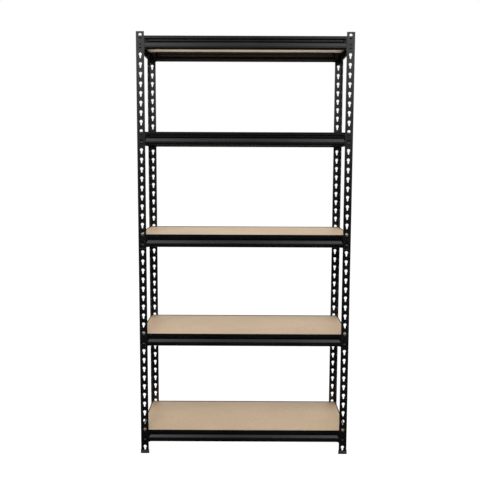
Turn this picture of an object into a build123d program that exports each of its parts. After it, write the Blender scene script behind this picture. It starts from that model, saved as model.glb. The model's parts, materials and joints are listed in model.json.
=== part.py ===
from build123d import *
import math
import os

# Boltless steel shelving: four angle uprights with keyholes, and tiers of four
# pressed beams whose shouldered rivets hook into the keyholes. Each tier carries
# a loose board. Millimetres, +Z up, front towards -Y, origin on the floor at the
# middle of the footprint.

# ---- overall size ----
WIDTH = 900.0  # left to right, over the outer faces of the uprights
DEPTH = 400.0  # front to back, over the outer faces of the uprights
HEIGHT = 1800.0  # floor to the top ends of the uprights
TIER_COUNT = 5

# ---- uprights ----
POST_LEG = 34.0  # width of each flange
POST_THICKNESS = 1.2
POST_BEND_RADIUS = 3.5  # outside of the bend
HOLE_FROM_CORNER = 18.0  # keyhole centre line to the outer face of the other flange
PITCH = 39.0  # from one keyhole to the next
TOP_MARGIN = 19.0  # post top to the middle of the first keyhole
BOTTOM_MARGIN = 24.0  # least height of the last keyhole's middle above the floor

# ---- keyholes: a round opening above a slot that narrows downwards ----
KEYHOLE_HEIGHT = 23.0  # top of the round part to the bottom of the slot
KEYHOLE_DIAMETER = 12.5
SLOT_TOP_WIDTH = 9.0  # measured at the centre of the round part
SLOT_BOTTOM_WIDTH = 5.5  # across the rounded bottom

# ---- rivets ----
RIVET_SHOULDER_DIAMETER = 6.2  # wedges part of the way down the slot
RIVET_SLOT_CLEARANCE = 0.1  # shoulder to each sloping side of the slot
RIVET_HEAD_CLEARANCE = 0.75  # on the radius, between the head and the round part
RIVET_HEAD_HEIGHT = 2.0
RIVET_RIM_HEIGHT = 0.5  # straight edge of the head, under the dome
RIVET_SHANK_DIAMETER = 4.8
RIVET_SHANK_CLEARANCE = 0.05  # on the radius, in the beam's hole
RIVET_TAIL_DIAMETER = 8.0
RIVET_TAIL_HEIGHT = 1.4
PLAY = 0.1  # between the beam and the post, and between the post and the head

# ---- beams ----
BEAM_THICKNESS = 1.0
BEAM_END_GAP = 10.0  # outer corner of the post to the end of the beam
BEAM_TOP_TO_RIVET = 7.0
RIVET_TO_BEAM_BOTTOM = 9.0
LIP_HEIGHT = 12.0  # upright lip above the groove
FOLD_RADIUS = 1.5  # outside of the fold between the lip and the ledge
GROOVE_DEPTH = 11.5
GROOVE_CORNER_RADIUS = 2.0
GROOVE_END_RUN = 13.0  # length over which each end of the groove slopes out
GROOVE_TO_POST = 1.0  # groove mouth to the edge of the post's flange
BULGE_RADIUS = 24.0
CREST_FLAT = 6.0  # flat stretch between the bulge and the rounded bottom
BOTTOM_RADIUS = 8.0
BOTTOM_FLANGE = 10.0  # depth of the turned-in bottom edge

# ---- boards ----
DECK_THICKNESS = 9.0
DECK_CLEARANCE = 2.5  # board edge to the inside of the lip
DECK_CHAMFER = 0.5

# ---- plastic feet ----
FOOT_HEIGHT = 15.5
FOOT_BASE = 3.0  # plastic under the post
FOOT_FIT = 0.15
FOOT_WALL = 1.6
FOOT_FLARE = 0.6  # how far the rim at the floor stands out past the wall
FOOT_RIM = 3.5  # height of that rim

# ---- plastic joiners between the post halves ----
JOINER_COLLAR = 1.0
JOINER_FIT = 0.1
JOINER_THICKNESS = 2.4
JOINER_TO_BEAM = 1.5  # edge of the tongue to the end of the beam

PLASTIC_INNER_RADIUS = 1.0  # inside corners of the feet and joiners
CUT_MARGIN = 2.0  # how far a cutting solid runs past what it cuts

# ---- worked out from the sizes above ----
hole_count = 1 + math.floor((HEIGHT - TOP_MARGIN - BOTTOM_MARGIN) / PITCH)
circle_rise = (KEYHOLE_HEIGHT - KEYHOLE_DIAMETER) / 2  # keyhole middle to round part's centre
slot_drop = (KEYHOLE_HEIGHT - SLOT_BOTTOM_WIDTH) / 2  # keyhole middle to bottom round's centre
slot_slope = (SLOT_TOP_WIDTH - SLOT_BOTTOM_WIDTH) / 2 / (circle_rise + slot_drop)
shoulder_radius = RIVET_SHOULDER_DIAMETER / 2
seat_half_width = (shoulder_radius + RIVET_SLOT_CLEARANCE) * math.hypot(1, slot_slope)
seat_drop = slot_drop - (seat_half_width - SLOT_BOTTOM_WIDTH / 2) / slot_slope
head_radius = KEYHOLE_DIAMETER / 2 - RIVET_HEAD_CLEARANCE
beam_plane_inset = POST_THICKNESS + PLAY  # post's outer face to beam's outer face
lip_inset = beam_plane_inset + BEAM_THICKNESS  # post's outer face to inside of lip
deck_drop = LIP_HEIGHT - BEAM_THICKNESS  # beam top to the underside of the board
beam_height = BEAM_TOP_TO_RIVET + PITCH + RIVET_TO_BEAM_BOTTOM
bulge_crest = beam_height - BOTTOM_RADIUS - CREST_FLAT  # beam top to the bulge's outermost line
middle_tier = (TIER_COUNT + 1) // 2

# Corner name: side (X), end (Y), turn about Z of a corner whose flanges run to +X and +Y.
CORNERS = {
    "front_left": (-1, -1, 0),
    "front_right": (1, -1, 90),
    "rear_right": (1, 1, 180),
    "rear_left": (-1, 1, 270),
}


def hole_height(index):
    """Height of the middle of a keyhole, counted from 0 at the top."""
    return HEIGHT - TOP_MARGIN - PITCH * index


def tier_hole(tier):
    """Keyhole that a tier's upper rivets sit in, tiers spread evenly from the top."""
    lowest = hole_count - 3
    return (tier - 1) * lowest // (TIER_COUNT - 1)


def tier_top(tier):
    """Height of the top edge of a tier's beams."""
    return hole_height(tier_hole(tier)) - seat_drop + BEAM_TOP_TO_RIVET


# The seam in each upright lies midway between two keyholes, just under the middle tier.
seam_height = hole_height(tier_hole(middle_tier) + 1.5)


# ---- small drawing helpers ----
def arc_about(centre, start, end):
    """Minor arc from start to end about a centre."""
    middle = Vector((start[0] + end[0]) / 2, (start[1] + end[1]) / 2)
    origin = Vector(*centre)
    radius = (Vector(*start) - origin).length
    return ThreePointArc(start, origin + (middle - origin).normalized() * radius, end)


def angle_face(start, end, thickness, outer_radius, inner_radius):
    """L-shaped section along +X and +Y, from start to end on both axes."""
    inside = start + thickness
    outer_turn = start + outer_radius
    inner_turn = inside + inner_radius
    return make_face(
        [
            Line((outer_turn, start), (end, start)),
            Line((end, start), (end, inside)),
            Line((end, inside), (inner_turn, inside)),
            arc_about((inner_turn, inner_turn), (inner_turn, inside), (inside, inner_turn)),
            Line((inside, inner_turn), (inside, end)),
            Line((inside, end), (start, end)),
            Line((start, end), (start, outer_turn)),
            arc_about((outer_turn, outer_turn), (start, outer_turn), (outer_turn, start)),
        ]
    )


def at_corner(shape, corner):
    side, end, turn = CORNERS[corner]
    return Location((side * WIDTH / 2, end * DEPTH / 2, 0), (0, 0, turn)) * shape


# ---- uprights ----
def keyhole_face():
    """Round opening above a tapering slot, about the keyhole's middle."""
    half_top = SLOT_TOP_WIDTH / 2
    half_bottom = SLOT_BOTTOM_WIDTH / 2
    slot = make_face(
        Polyline(
            (-half_top, circle_rise),
            (-half_bottom, -slot_drop),
            (half_bottom, -slot_drop),
            (half_top, circle_rise),
            close=True,
        )
    )
    opening = Pos(0, circle_rise) * Circle(KEYHOLE_DIAMETER / 2)
    return opening + slot + Pos(0, -slot_drop) * Circle(half_bottom)


def post_section():
    inner_radius = POST_BEND_RADIUS - POST_THICKNESS
    return angle_face(0, POST_LEG, POST_THICKNESS, POST_BEND_RADIUS, inner_radius)


def post_half(bottom, top):
    """Length of upright between two heights, with the keyholes that fall in it."""
    body = Pos(0, 0, bottom) * extrude(post_section(), top - bottom)
    front_hole = extrude(Plane.XZ * keyhole_face(), POST_THICKNESS + CUT_MARGIN, both=True)
    side_hole = extrude(Plane.YZ * keyhole_face(), POST_THICKNESS + CUT_MARGIN, both=True)
    cuts = []
    for index in range(hole_count):
        height = hole_height(index)
        if bottom < height < top:
            cuts.append(Pos(HOLE_FROM_CORNER, 0, height) * front_hole)
            cuts.append(Pos(0, HOLE_FROM_CORNER, height) * side_hole)
    return body - cuts


def joiner():
    """Collar between the post halves, with a tongue up and down the inner corner."""
    reach = PITCH
    start = POST_THICKNESS + JOINER_FIT
    end = BEAM_END_GAP - JOINER_TO_BEAM
    tongue_section = angle_face(start, end, JOINER_THICKNESS, POST_BEND_RADIUS, PLASTIC_INNER_RADIUS)
    tongue = Pos(0, 0, seam_height - reach) * extrude(tongue_section, 2 * reach)
    collar_section = angle_face(
        0, POST_LEG, start + JOINER_THICKNESS, POST_BEND_RADIUS, PLASTIC_INNER_RADIUS
    )
    collar = Pos(0, 0, seam_height - JOINER_COLLAR / 2) * extrude(collar_section, JOINER_COLLAR)
    return tongue + collar


def foot():
    """Plastic shoe with a pocket for the end of the post."""
    reach = FOOT_FIT + FOOT_WALL
    rim_reach = reach + FOOT_FLARE
    walls = extrude(
        angle_face(
            -reach,
            POST_LEG + reach,
            POST_THICKNESS + 2 * reach,
            POST_BEND_RADIUS + reach,
            PLASTIC_INNER_RADIUS,
        ),
        FOOT_HEIGHT,
    )
    rim = extrude(
        angle_face(
            -rim_reach,
            POST_LEG + rim_reach,
            POST_THICKNESS + 2 * rim_reach,
            POST_BEND_RADIUS + rim_reach,
            PLASTIC_INNER_RADIUS,
        ),
        FOOT_RIM,
    )
    rim = chamfer(rim.faces().sort_by(Axis.Z)[-1].edges(), FOOT_FLARE)
    pocket = extrude(
        angle_face(
            -FOOT_FIT,
            POST_LEG + FOOT_FIT,
            POST_THICKNESS + 2 * FOOT_FIT,
            POST_BEND_RADIUS + FOOT_FIT,
            POST_BEND_RADIUS - POST_THICKNESS - FOOT_FIT,
        ),
        FOOT_HEIGHT,
    )
    return walls + rim - Pos(0, 0, FOOT_BASE) * pocket


# ---- beams, drawn along X with the outer plane at Y = 0 and the top edge at Z = 0 ----
def groove_face(grow):
    """Space in front of the groove and bulge, grown into the sheet by grow."""
    front = -CUT_MARGIN
    fold_height = FOLD_RADIUS - LIP_HEIGHT
    ledge_height = grow - LIP_HEIGHT
    web = GROOVE_DEPTH + grow
    corner_depth = GROOVE_DEPTH - GROOVE_CORNER_RADIUS
    corner_height = -LIP_HEIGHT - GROOVE_CORNER_RADIUS
    bulge_rise = math.sqrt((BULGE_RADIUS - grow) ** 2 - (BULGE_RADIUS - web) ** 2)
    web_foot = (web, bulge_rise - bulge_crest)
    fold_start = (grow, fold_height)
    fold_end = (FOLD_RADIUS, ledge_height)
    corner_start = (corner_depth, ledge_height)
    corner_end = (web, corner_height)
    crest = (grow, -bulge_crest)
    return make_face(
        [
            Line((front, fold_height), fold_start),
            arc_about((FOLD_RADIUS, fold_height), fold_start, fold_end),
            Line(fold_end, corner_start),
            arc_about((corner_depth, corner_height), corner_start, corner_end),
            Line(corner_end, web_foot),
            arc_about((BULGE_RADIUS, -bulge_crest), web_foot, crest),
            Line(crest, (front, -bulge_crest)),
            Line((front, -bulge_crest), (front, fold_height)),
        ]
    )


def bottom_face(grow):
    """Space outside the rounded, turned-in bottom edge, grown into the sheet by grow."""
    front = -CUT_MARGIN
    below = -beam_height - CUT_MARGIN
    turn = BOTTOM_RADIUS - beam_height
    flange_height = grow - beam_height
    start = (grow, turn)
    end = (BOTTOM_RADIUS, flange_height)
    return make_face(
        [
            Line((front, turn), start),
            arc_about((BOTTOM_RADIUS, turn), start, end),
            Line(end, (BOTTOM_FLANGE, flange_height)),
            Line((BOTTOM_FLANGE, flange_height), (BOTTOM_FLANGE, below)),
            Line((BOTTOM_FLANGE, below), (front, below)),
            Line((front, below), (front, turn)),
        ]
    )


def pressed_space(face, mouth_length, grow, margin):
    """Runs a section along X between end walls that slope inwards with depth.

    The space is grown into the sheet by grow, and runs past the outer plane and
    the bottom edge by margin.
    """
    slope = GROOVE_END_RUN / GROOVE_DEPTH
    half_mouth = mouth_length / 2 + grow * math.hypot(1, slope)
    back = max(GROOVE_DEPTH + BEAM_THICKNESS, BOTTOM_FLANGE) + CUT_MARGIN
    half_front = half_mouth + slope * margin
    half_back = half_mouth - slope * back
    plan = make_face(
        Polyline(
            (-half_front, -margin),
            (half_front, -margin),
            (half_back, back),
            (-half_back, back),
            close=True,
        )
    )
    room = Pos(0, 0, -beam_height - margin) * extrude(plan, beam_height + margin)
    return extrude(Plane.YZ * face, mouth_length, both=True) & room


def rivet_places(span):
    """The four rivet axes of a beam, on its outer plane."""
    across = span / 2 - HOLE_FROM_CORNER
    heights = (-BEAM_TOP_TO_RIVET, -BEAM_TOP_TO_RIVET - PITCH)
    return [Pos(side * across, 0, height) for side in (-1, 1) for height in heights]


def beam(span):
    """Pressed beam between two posts whose outer faces are span apart."""
    length = span - 2 * BEAM_END_GAP
    mouth = span - 2 * (POST_LEG + GROOVE_TO_POST)
    shell = Pos(0, BEAM_THICKNESS / 2, -beam_height / 2) * Box(length, BEAM_THICKNESS, beam_height)
    for outline in (groove_face, bottom_face):
        shell += pressed_space(outline(BEAM_THICKNESS), mouth, BEAM_THICKNESS, 0)
        shell -= pressed_space(outline(0), mouth, 0, CUT_MARGIN)
    bore_radius = RIVET_SHANK_DIAMETER / 2 + RIVET_SHANK_CLEARANCE
    bore = Rot(90, 0, 0) * Cylinder(bore_radius, 2 * (BEAM_THICKNESS + CUT_MARGIN))
    return shell - [place * bore for place in rivet_places(span)]


def rivet():
    """Shouldered rivet: domed head outside, tail against the back of the beam."""
    seat = -(POST_THICKNESS + 2 * PLAY)
    crown = seat - RIVET_HEAD_HEIGHT
    shank_radius = RIVET_SHANK_DIAMETER / 2
    tail_radius = RIVET_TAIL_DIAMETER / 2
    tail_end = BEAM_THICKNESS + RIVET_TAIL_HEIGHT
    rim = (head_radius, seat - RIVET_RIM_HEIGHT)
    profile = make_face(
        [
            TangentArc((0, crown), rim, tangent=(1, 0)),
            Line(rim, (head_radius, seat)),
            Line((head_radius, seat), (shoulder_radius, seat)),
            Line((shoulder_radius, seat), (shoulder_radius, 0)),
            Line((shoulder_radius, 0), (shank_radius, 0)),
            Line((shank_radius, 0), (shank_radius, BEAM_THICKNESS)),
            Line((shank_radius, BEAM_THICKNESS), (tail_radius, BEAM_THICKNESS)),
            Line((tail_radius, BEAM_THICKNESS), (tail_radius, tail_end)),
            Line((tail_radius, tail_end), (0, tail_end)),
            Line((0, tail_end), (0, crown)),
        ]
    )
    return revolve(profile, Axis.Y)


def beam_places(tier):
    """Where each beam of a tier stands: front, rear, left, right."""
    top = tier_top(tier)
    across = WIDTH / 2 - beam_plane_inset
    along = DEPTH / 2 - beam_plane_inset
    return {
        "front": Location((0, -along, top), (0, 0, 0)),
        "rear": Location((0, along, top), (0, 0, 180)),
        "left": Location((-across, 0, top), (0, 0, -90)),
        "right": Location((across, 0, top), (0, 0, 90)),
    }


def rivet_group(places, span):
    """The rivets of two facing beams."""
    single = rivet()
    return Compound(children=[place * spot * single for place in places for spot in rivet_places(span)])


# ---- boards ----
def deck():
    """Board with its underside at Z = 0."""
    inset = 2 * (lip_inset + DECK_CLEARANCE)
    board = Pos(0, 0, DECK_THICKNESS / 2) * Box(WIDTH - inset, DEPTH - inset, DECK_THICKNESS)
    return chamfer(board.edges(), DECK_CHAMFER)


def write(shape, name):
    export_step(shape, f"parts/{name}.step")


os.makedirs("parts", exist_ok=True)

post_lower = post_half(FOOT_BASE, seam_height - JOINER_COLLAR / 2)
post_upper = post_half(seam_height + JOINER_COLLAR / 2, HEIGHT)
for corner_name in CORNERS:
    write(at_corner(post_lower, corner_name), f"post_{corner_name}_lower")
    write(at_corner(post_upper, corner_name), f"post_{corner_name}_upper")
    write(at_corner(joiner(), corner_name), f"joiner_{corner_name}")
    write(at_corner(foot(), corner_name), f"foot_{corner_name}")

long_beam = beam(WIDTH)
side_beam = beam(DEPTH)
board = deck()
for tier_number in range(1, TIER_COUNT + 1):
    places = beam_places(tier_number)
    for side_name in ("front", "rear"):
        write(places[side_name] * long_beam, f"tier_{tier_number}_{side_name}_beam")
    for side_name in ("left", "right"):
        write(places[side_name] * side_beam, f"tier_{tier_number}_{side_name}_beam")
    write(rivet_group([places["front"], places["rear"]], WIDTH), f"tier_{tier_number}_long_beam_rivets")
    write(rivet_group([places["left"], places["right"]], DEPTH), f"tier_{tier_number}_side_beam_rivets")
    write(Pos(0, 0, tier_top(tier_number) - deck_drop) * board, f"tier_{tier_number}_deck")
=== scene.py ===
import json
import math

import bpy
from mathutils import Matrix, Vector

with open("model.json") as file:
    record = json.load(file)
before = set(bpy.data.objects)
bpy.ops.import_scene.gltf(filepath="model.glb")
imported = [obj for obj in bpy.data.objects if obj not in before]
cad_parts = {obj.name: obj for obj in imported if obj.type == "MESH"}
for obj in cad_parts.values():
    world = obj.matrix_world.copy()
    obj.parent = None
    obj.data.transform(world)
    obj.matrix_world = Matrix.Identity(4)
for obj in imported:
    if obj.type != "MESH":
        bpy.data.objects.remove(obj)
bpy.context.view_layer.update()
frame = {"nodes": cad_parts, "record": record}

scene = bpy.context.scene
slot_of = {row["node"]: row["material_slot"] for row in frame["record"]["subparts"]}


# ---- camera: in front of the shelving, a little below its second tier, looking slightly down ----
CAMERA_PLACE = Vector((-0.002, -3.340, 1.275))
CAMERA_PITCH = math.radians(6.97)
CAMERA_YAW = math.radians(0.13)
CAMERA_ROLL = math.radians(0.22)
CAMERA_LENS = 55.94
CAMERA_SENSOR = 36
CAMERA_SHIFT_X = -0.005
CAMERA_SHIFT_Y = 0.0246
CAMERA_CLIP_END = 60

camera = bpy.data.objects.new("camera", bpy.data.cameras.new("camera"))
scene.collection.objects.link(camera)
heading = Matrix.Rotation(CAMERA_YAW, 4, "Z") @ Matrix.Rotation(math.pi / 2 - CAMERA_PITCH, 4, "X")
camera.matrix_world = Matrix.Translation(CAMERA_PLACE) @ heading @ Matrix.Rotation(CAMERA_ROLL, 4, "Z")
camera.data.lens = CAMERA_LENS
camera.data.sensor_width = CAMERA_SENSOR
camera.data.shift_x = CAMERA_SHIFT_X
camera.data.shift_y = CAMERA_SHIFT_Y
camera.data.clip_end = CAMERA_CLIP_END
scene.camera = camera


# ---- node helpers ----
class Graph:
    """A node tree, built by short calls."""

    def __init__(self, tree):
        self.tree = tree

    def add(self, kind, **settings):
        node = self.tree.nodes.new(kind)
        for key, value in settings.items():
            setattr(node, key, value)
        return node

    def link(self, source, target):
        self.tree.links.new(source, target)

    def feed(self, socket, value):
        """Gives a socket a number, a colour or another node's output."""
        if isinstance(value, bpy.types.NodeSocket):
            self.link(value, socket)
        else:
            socket.default_value = value

    def math(self, operation, a, b=0.0):
        node = self.add("ShaderNodeMath", operation=operation)
        self.feed(node.inputs[0], a)
        self.feed(node.inputs[1], b)
        return node.outputs["Value"]

    def axes(self, vector):
        """A vector's X, Y and Z."""
        node = self.add("ShaderNodeSeparateXYZ")
        self.link(vector, node.inputs["Vector"])
        return node.outputs

    def spread(self, value, low_at, high_at, low, high, curve="LINEAR"):
        """Number that runs from low to high as value goes from low_at to high_at."""
        node = self.add("ShaderNodeMapRange", interpolation_type=curve)
        self.link(value, node.inputs["Value"])
        self.feed(node.inputs["From Min"], low_at)
        self.feed(node.inputs["From Max"], high_at)
        self.feed(node.inputs["To Min"], low)
        self.feed(node.inputs["To Max"], high)
        return node.outputs["Result"]

    def shader(self, kind, output, **inputs):
        """A shader node's output, with its inputs fed by name."""
        node = self.add(kind)
        for name, value in inputs.items():
            self.feed(node.inputs[name], value)
        return node.outputs[output]

    def choose(self, factor, first, second):
        """The first shader where factor is 0, and the second where it is 1."""
        node = self.add("ShaderNodeMixShader")
        self.link(factor, node.inputs["Fac"])
        self.link(first, node.inputs[1])
        self.link(second, node.inputs[2])
        return node.outputs["Shader"]


class Finish(Graph):
    """A surface material's nodes, around its Principled shader."""

    def __init__(self, name):
        self.material = bpy.data.materials.new(name)
        self.material.use_nodes = True
        super().__init__(self.material.node_tree)
        self.position = self.add("ShaderNodeTexCoord").outputs["Object"]

    def noise(self, scale, detail=3.0, roughness=0.5, stretch=(1, 1, 1)):
        mapping = self.add("ShaderNodeMapping")
        mapping.inputs["Scale"].default_value = stretch
        self.link(self.position, mapping.inputs["Vector"])
        texture = self.add("ShaderNodeTexNoise")
        texture.inputs["Scale"].default_value = scale
        texture.inputs["Detail"].default_value = detail
        texture.inputs["Roughness"].default_value = roughness
        self.link(mapping.outputs["Vector"], texture.inputs["Vector"])
        return texture.outputs["Fac"]

    def ramp(self, value, low, high, low_at=0.35, high_at=0.65):
        """Colour that runs from low to high as value goes from low_at to high_at."""
        node = self.add("ShaderNodeValToRGB")
        node.color_ramp.elements[0].position = low_at
        node.color_ramp.elements[0].color = (*low, 1)
        node.color_ramp.elements[1].position = high_at
        node.color_ramp.elements[1].color = (*high, 1)
        self.link(value, node.inputs["Fac"])
        return node.outputs["Color"]

    def mix(self, factor, a, b, blend="MIX"):
        node = self.add("ShaderNodeMix", data_type="RGBA", blend_type=blend)
        self.feed(node.inputs["Factor"], factor)
        self.feed(node.inputs["A"], a)
        self.feed(node.inputs["B"], b)
        return node.outputs["Result"]

    def bump(self, height, distance, strength=1.0, normal=None):
        node = self.add("ShaderNodeBump")
        node.inputs["Strength"].default_value = strength
        node.inputs["Distance"].default_value = distance
        self.link(height, node.inputs["Height"])
        if normal is not None:
            self.link(normal, node.inputs["Normal"])
        return node.outputs["Normal"]

    def set(self, socket, value):
        self.feed(self.tree.nodes["Principled BSDF"].inputs[socket], value)

    def set_roughness(self, noise, low, high):
        self.set("Roughness", self.spread(noise, NOISE_LOW, NOISE_HIGH, low, high))


# ---- materials: colours and roughness run from the first value to the second, depths are in metres ----
NOISE_LOW = 0.3  # most of a noise texture lies between these two
NOISE_HIGH = 0.7

COAT_COLOURS = ((0.0008, 0.0009, 0.0011), (0.0018, 0.0019, 0.0023))
COAT_PEEL_DEPTH = 0.00005
COAT_WAVE_DEPTH = 0.00002
PRESSED_ROUGHNESS = (0.17, 0.22)
PRESSED_GLOSS = 0.37
ROLLED_ROUGHNESS = (0.20, 0.25)
ROLLED_GLOSS = 0.62

BOARD_TOP_COLOURS = ((0.515, 0.376, 0.236), (0.567, 0.419, 0.267))
# painted bounce light: the underside is given a lighter, greyer colour than the top to stand in for light
# from below
BOARD_UNDERSIDE_PAINTED_BOUNCE_COLOURS = ((0.56, 0.48, 0.38), (0.62, 0.53, 0.42))
BOARD_CUT_COLOURS = ((0.20, 0.13, 0.075), (0.52, 0.40, 0.27))
CHIP_TINTS = ((0.80, 0.77, 0.73), (1.0, 1.0, 1.0))
CHIP_SHARE = 0.6
FLECK_TINTS = ((0.80, 0.76, 0.70), (1.0, 1.0, 1.0))
FLECK_SHARE = 0.8
FLECK_DEPTH = 0.00012
LAYER_DEPTH = 0.0002
LAYER_STRENGTH = 0.5
BOARD_ROUGHNESS = (0.50, 0.64)
BOARD_GLOSS = 0.9
FACE_NORMAL_LIMIT = 0.5  # a board's face, not its cut edge, has a normal with more than this along Z

PLASTIC_COLOURS = ((0.006, 0.006, 0.0065), (0.012, 0.012, 0.013))
PLASTIC_ROUGHNESS = (0.5, 0.62)
PLASTIC_GRAIN_DEPTH = 0.0001


def powder_coat(name, roughness, gloss):
    """Satin black powder coat with a fine orange-peel skin."""
    g = Finish(name)
    cloud = g.noise(scale=6.0, detail=4.0)
    peel = g.noise(scale=900.0, detail=2.0)
    waves = g.noise(scale=180.0, detail=2.0)
    g.set("Base Color", g.ramp(cloud, *COAT_COLOURS))
    g.set_roughness(waves, *roughness)
    g.set("Specular IOR Level", gloss)
    g.set("Normal", g.bump(peel, COAT_PEEL_DEPTH, normal=g.bump(waves, COAT_WAVE_DEPTH)))
    return g.material


def particle_board():
    """Raw board: pressed faces with fine flecks, an underside painted lighter and greyer as painted bounce
    light from below, and coarser, darker cut edges.
    """
    g = Finish("particle_board")
    cloud = g.noise(scale=5.0, detail=3.0)
    flecks = g.noise(scale=420.0, detail=4.0, roughness=0.7)
    chips = g.noise(scale=85.0, detail=4.0, roughness=0.6, stretch=(1, 0.7, 1))
    layers = g.noise(scale=300.0, detail=4.0, roughness=0.75, stretch=(0.35, 0.35, 1.6))
    upward = g.axes(g.add("ShaderNodeNewGeometry").outputs["True Normal"])["Z"]
    is_underside = g.math("LESS_THAN", upward, -FACE_NORMAL_LIMIT)
    is_face = g.math("GREATER_THAN", g.math("ABSOLUTE", upward), FACE_NORMAL_LIMIT)
    # faces pointing down get the lighter, greyer colour: painted bounce light
    plain = g.mix(is_underside, g.ramp(cloud, *BOARD_TOP_COLOURS), g.ramp(cloud, *BOARD_UNDERSIDE_PAINTED_BOUNCE_COLOURS))
    chipped = g.mix(CHIP_SHARE, plain, g.ramp(chips, *CHIP_TINTS, high_at=0.6), "MULTIPLY")
    speckle = g.ramp(flecks, *FLECK_TINTS, low_at=0.30, high_at=0.55)
    face = g.mix(FLECK_SHARE, chipped, speckle, "MULTIPLY")
    cut = g.ramp(layers, *BOARD_CUT_COLOURS, low_at=0.32, high_at=0.62)
    g.set("Base Color", g.mix(is_face, cut, face))
    g.set_roughness(chips, *BOARD_ROUGHNESS)
    g.set("Specular IOR Level", BOARD_GLOSS)
    g.set("Normal", g.bump(layers, LAYER_DEPTH, LAYER_STRENGTH, normal=g.bump(flecks, FLECK_DEPTH)))
    return g.material


def moulded_plastic():
    """Black plastic with a fine spark-eroded grain."""
    g = Finish("moulded_plastic")
    grain = g.noise(scale=1400.0, detail=2.0)
    cloud = g.noise(scale=30.0)
    g.set("Base Color", g.ramp(cloud, *PLASTIC_COLOURS))
    g.set_roughness(grain, *PLASTIC_ROUGHNESS)
    g.set("Normal", g.bump(grain, PLASTIC_GRAIN_DEPTH))
    return g.material


finishes = {
    "powder_coated_steel": powder_coat("powder_coat_pressed", PRESSED_ROUGHNESS, PRESSED_GLOSS),
    "particle_board": particle_board(),
    "black_plastic": moulded_plastic(),
}
post_finish = powder_coat("powder_coat_rolled", ROLLED_ROUGHNESS, ROLLED_GLOSS)
for name, node in frame["nodes"].items():
    node.data.materials.clear()
    node.data.materials.append(post_finish if name.startswith("post_") else finishes[slot_of[name]])


# ---- floor and lamps ----
WHITE = (1, 1, 1, 1)
FLOOR_HALF_SIZE = 14.0
FLOOR_TONE = (0.3, 0.3, 0.3, 1)
FLOOR_MIRRORED_TONE = (0.02, 0.02, 0.02, 1)  # the floor as the object's reflections see it
FLOOR_GLOW = 0.9  # keeps the floor white to the camera, and lights what faces down
LAMPS = {
    "key": {"place": (-0.3, -2.7, 3.2), "aim": (0, 0, 0.9), "width": 2.2, "height": 1.4, "power": 101},
    "bounce": {"place": (0, -2.2, 0.08), "aim": (0, 0, 1.7), "width": 2.4, "height": 0.6, "power": 85},
}


def floor():
    """Pale floor that reflections see as dark, like the unlit floor of a room."""
    h = FLOOR_HALF_SIZE
    mesh = bpy.data.meshes.new("studio_floor")
    mesh.from_pydata([(-h, -h, 0), (h, -h, 0), (h, h, 0), (-h, h, 0)], [], [(0, 1, 2, 3)])
    plane = bpy.data.objects.new("studio_floor", mesh)
    scene.collection.objects.link(plane)
    material = bpy.data.materials.new("studio_floor")
    material.use_nodes = True
    material.node_tree.nodes.clear()
    g = Graph(material.node_tree)
    pale = g.shader("ShaderNodeBsdfDiffuse", "BSDF", Color=FLOOR_TONE)
    dark = g.shader("ShaderNodeBsdfDiffuse", "BSDF", Color=FLOOR_MIRRORED_TONE)
    glow = g.shader("ShaderNodeEmission", "Emission", Strength=FLOOR_GLOW)
    seen = g.add("ShaderNodeAddShader")
    g.link(pale, seen.inputs[0])
    g.link(glow, seen.inputs[1])
    path = g.add("ShaderNodeLightPath")
    surface = g.choose(path.outputs["Is Glossy Ray"], seen.outputs["Shader"], dark)
    g.link(surface, g.add("ShaderNodeOutputMaterial").inputs["Surface"])
    mesh.materials.append(material)


def softbox(name, place, aim, width, height, power):
    """Large soft lamp that lights surfaces but isn't mirrored in them."""
    data = bpy.data.lights.new(name, "AREA")
    data.shape = "RECTANGLE"
    data.size = width
    data.size_y = height
    data.energy = power
    lamp = bpy.data.objects.new(name, data)
    lamp.location = place
    lamp.rotation_euler = (Vector(aim) - Vector(place)).to_track_quat("-Z", "Y").to_euler()
    lamp.visible_glossy = False
    scene.collection.objects.link(lamp)


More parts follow.
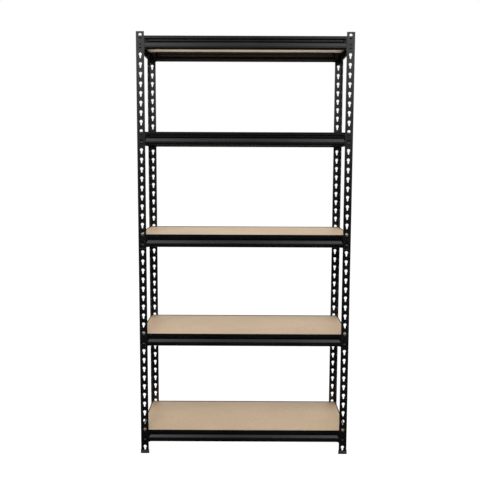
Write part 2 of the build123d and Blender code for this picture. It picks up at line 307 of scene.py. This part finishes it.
# ---- sky: START, FULL and END are the part of a direction's unit vector that lies along Z, Y or X ----
OVERHEAD_LEVEL = 1.35
OVERHEAD_START = 0.0
OVERHEAD_FULL = 0.28
BACKDROP_LEVEL = 0.85  # the bright wall behind the shelving
BACKDROP_START = -0.1
BACKDROP_FULL = 0.5
MATT_SHARE = 0.38  # share of the sky that lights matt surfaces
MIDDLE_SHARE = 0.2  # share of it that is mirrored from straight in front
SIDE_SHARE = 2.4  # and from both sides in front
SIDE_FULL = 0.18
FRONT_FULL = -0.7
FRONT_END = -0.3


def sky():
    """White to the camera. Light comes from overhead and from the wall behind the shelving. What is
    mirrored from in front is dark low down and in the middle, and brighter at both sides."""
    world = bpy.data.worlds.new("studio")
    scene.world = world
    world.use_nodes = True
    world.node_tree.nodes.clear()
    g = Graph(world.node_tree)
    x, y, z = g.axes(g.add("ShaderNodeTexCoord").outputs["Generated"])
    overhead = g.spread(z, OVERHEAD_START, OVERHEAD_FULL, 0.0, OVERHEAD_LEVEL, "SMOOTHSTEP")
    backdrop = g.spread(y, BACKDROP_START, BACKDROP_FULL, 0.0, BACKDROP_LEVEL, "SMOOTHSTEP")
    level = g.math("MAXIMUM", overhead, backdrop)
    across = g.math("ABSOLUTE", x)
    in_front = g.spread(across, 0.0, SIDE_FULL, MIDDLE_SHARE, SIDE_SHARE, "SMOOTHSTEP")
    mirrored = g.spread(y, FRONT_FULL, FRONT_END, in_front, 1.0, "SMOOTHSTEP")
    path = g.add("ShaderNodeLightPath")
    share = g.spread(path.outputs["Is Glossy Ray"], 0.0, 1.0, MATT_SHARE, mirrored)
    strength = g.math("MULTIPLY", level, share)
    lit = g.shader("ShaderNodeBackground", "Background", Color=WHITE, Strength=strength)
    seen = g.shader("ShaderNodeBackground", "Background", Color=WHITE, Strength=1.0)
    surface = g.choose(path.outputs["Is Camera Ray"], lit, seen)
    g.link(surface, g.add("ShaderNodeOutputWorld").inputs["Surface"])


floor()
for name, lamp in LAMPS.items():
    softbox(name, **lamp)
sky()
scene.view_settings.view_transform = "Standard"
